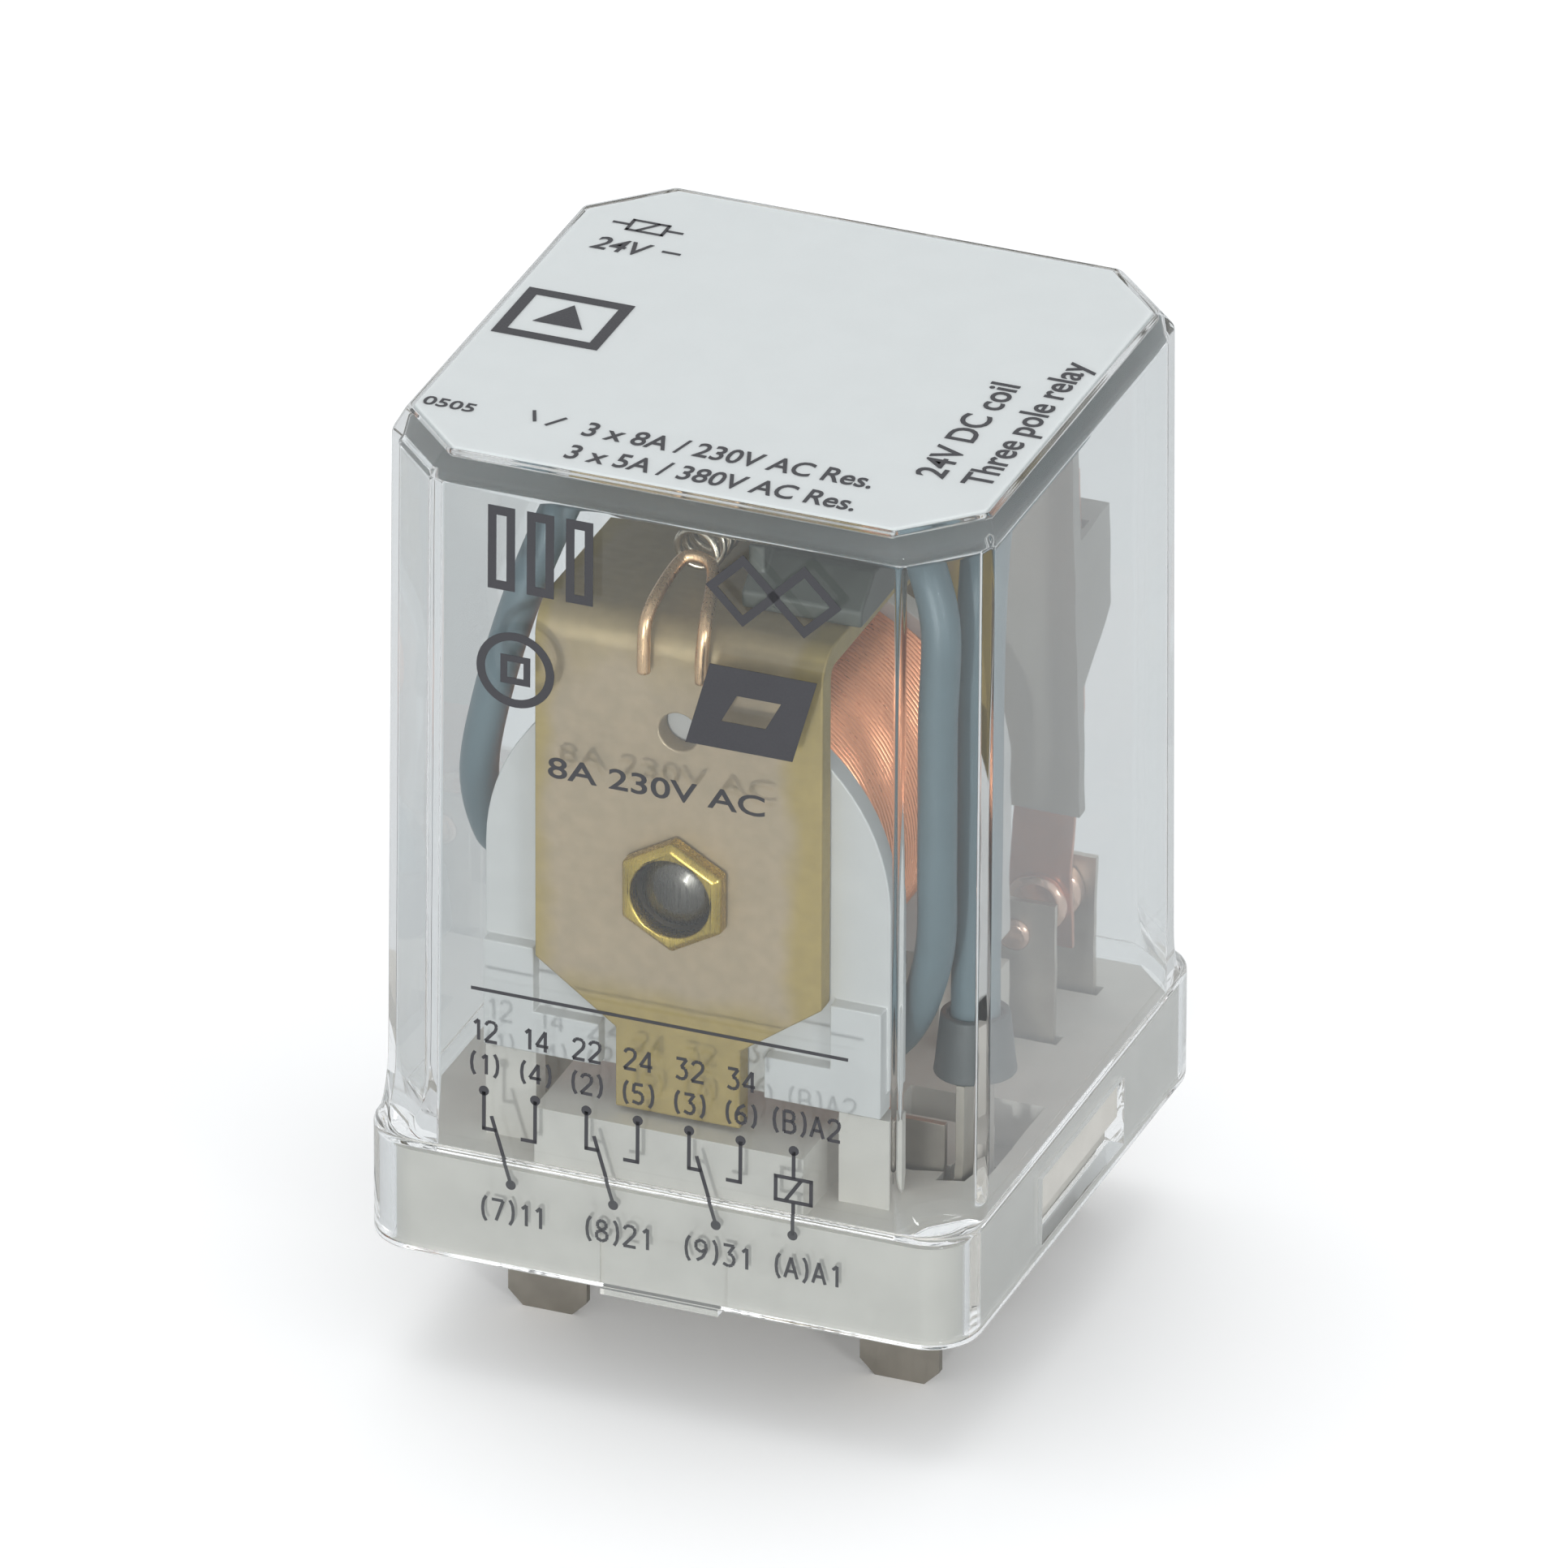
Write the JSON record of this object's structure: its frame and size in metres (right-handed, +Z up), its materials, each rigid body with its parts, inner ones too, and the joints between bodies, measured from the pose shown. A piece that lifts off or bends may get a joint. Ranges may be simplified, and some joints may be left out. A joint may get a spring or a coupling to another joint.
{
  "type": "plug-in power relay",
  "caption": "Plug-in industrial power relay with a clear cover, coil, hinged armature and changeover contacts on flat blades.",
  "frame": {"origin": "centre of the footprint, at the level of the blade tips", "axes": "+Z up from the blades to the marking plate, -Y the printed front, +X right seen from the front"},
  "size_m": [0.036, 0.037, 0.0576],
  "materials": {
    "clear_cover": "clear moulded polycarbonate",
    "marking_white": "satin white",
    "base_grey": "warm light grey moulding",
    "passivated_steel": "yellow passivated zinc",
    "core_iron": "turned soft iron",
    "nut_brass": "bright",
    "bobbin_white": "satin",
    "winding_copper": "enamelled copper wire",
    "carrier_grey": "grey-green moulding",
    "guide_dark": "dark grey-green moulding",
    "spring_bronze": "rolled bronze strip",
    "contact_silver": "silver alloy",
    "blade_tinned": "tinned",
    "spring_steel": "bright drawn wire",
    "lead_grey": "blue-grey insulation",
    "sleeve_dark": "shrunk sleeve"
  },
  "bodies": {
    "relay_body": {"cover": "clear_cover", "marking_plate": "marking_white", "base": "base_grey", "yoke": "passivated_steel", "core": "core_iron", "core_nut": "nut_brass", "bobbin": "bobbin_white", "coil_winding": "winding_copper", "coil_wire_a": "winding_copper", "coil_wire_b": "winding_copper", "lead_guide": "guide_dark", "no_contact_1": "contact_silver", "nc_contact_1": "contact_silver", "no_contact_2": "contact_silver", "nc_contact_2": "contact_silver", "no_contact_3": "contact_silver", "nc_contact_3": "contact_silver", "com_terminal_1": "blade_tinned", "no_terminal_1": "blade_tinned", "nc_terminal_1": "blade_tinned", "com_terminal_2": "blade_tinned", "no_terminal_2": "blade_tinned", "nc_terminal_2": "blade_tinned", "com_terminal_3": "blade_tinned", "no_terminal_3": "blade_tinned", "nc_terminal_3": "blade_tinned", "coil_terminal_a": "blade_tinned", "coil_terminal_b": "blade_tinned", "return_spring": "spring_steel", "spring_hanger": "spring_steel", "flexible_lead_1": "lead_grey", "flexible_lead_2": "lead_grey", "flexible_lead_3": "lead_grey", "lead_sleeve_1": "sleeve_dark", "lead_sleeve_2": "sleeve_dark", "lead_sleeve_3": "sleeve_dark"},
    "armature_set": {"armature": "passivated_steel", "contact_carrier": "carrier_grey", "carrier_rivet_left": "nut_brass", "carrier_rivet_right": "nut_brass", "moving_blade_1": "spring_bronze", "moving_blade_2": "spring_bronze", "moving_blade_3": "spring_bronze", "moving_contact_1": "contact_silver", "moving_contact_2": "contact_silver", "moving_contact_3": "contact_silver"}
  },
  "joints": [
    {"name": "armature_swing", "type": "hinge", "parent": "relay_body", "child": "armature_set", "pos_m": [0, 0.00735, 0.04835], "axis": [-1, 0, 0], "range_deg": [0, 3.4], "stiffness_Nm_per_rad": 0.05, "springref_deg": -11.46}
  ]
}
